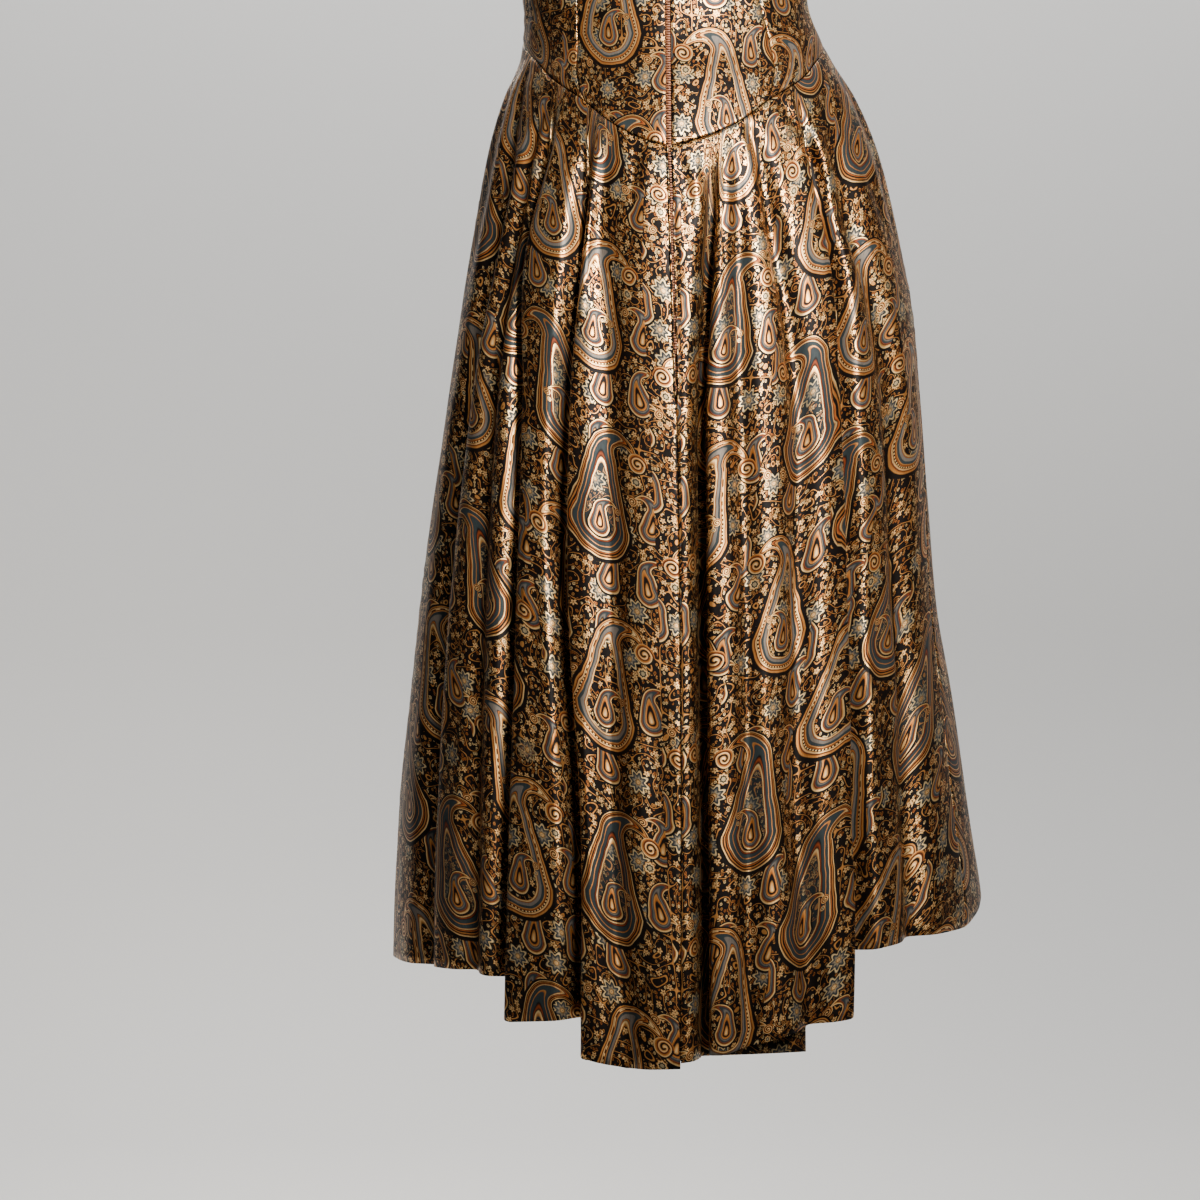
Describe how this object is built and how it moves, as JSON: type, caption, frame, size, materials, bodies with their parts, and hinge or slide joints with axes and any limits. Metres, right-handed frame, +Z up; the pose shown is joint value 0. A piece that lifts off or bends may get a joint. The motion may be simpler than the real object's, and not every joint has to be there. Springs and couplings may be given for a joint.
{
  "type": "high-low cocktail dress",
  "caption": "Sleeveless fitted dress with a pointed dropped waist seam, a back zip and a full unpressed-pleat skirt, longer at the back.",
  "frame": {"origin": "on the shoulder line, midway between the two shoulder straps, where the wearer holds the dress up", "axes": "+Z up; the back of the dress faces +Y and the front -Y; the wearer's left is +X"},
  "size_m": [0.4388, 0.3867, 1.1705],
  "materials": {
    "brocade": "paisley jacquard brocade, satin metallic figure on near-black ground",
    "zip_coil": "copper-brown nylon coil on woven tape",
    "zip_metal": "copper-tone lacquered metal"
  },
  "bodies": {
    "dress": {"bodice_front": "brocade", "bodice_front_side_left": "brocade", "bodice_front_side_right": "brocade", "bodice_back_left": "brocade", "bodice_back_right": "brocade", "bodice_back_yoke_left": "brocade", "bodice_back_yoke_right": "brocade", "bodice_back_side_left": "brocade", "bodice_back_side_right": "brocade", "skirt_front": "brocade", "skirt_back_left": "brocade", "skirt_back_right": "brocade", "zip_chain": "zip_coil", "zip_slider": "zip_metal"},
    "pull": {"zip_pull": "zip_metal"}
  },
  "joints": [
    {"name": "pull_swing", "type": "hinge", "parent": "dress", "child": "pull", "pos_m": [0, 0.08962, -0.06946], "axis": [1, 0, 0], "range_deg": [0, 160]}
  ]
}
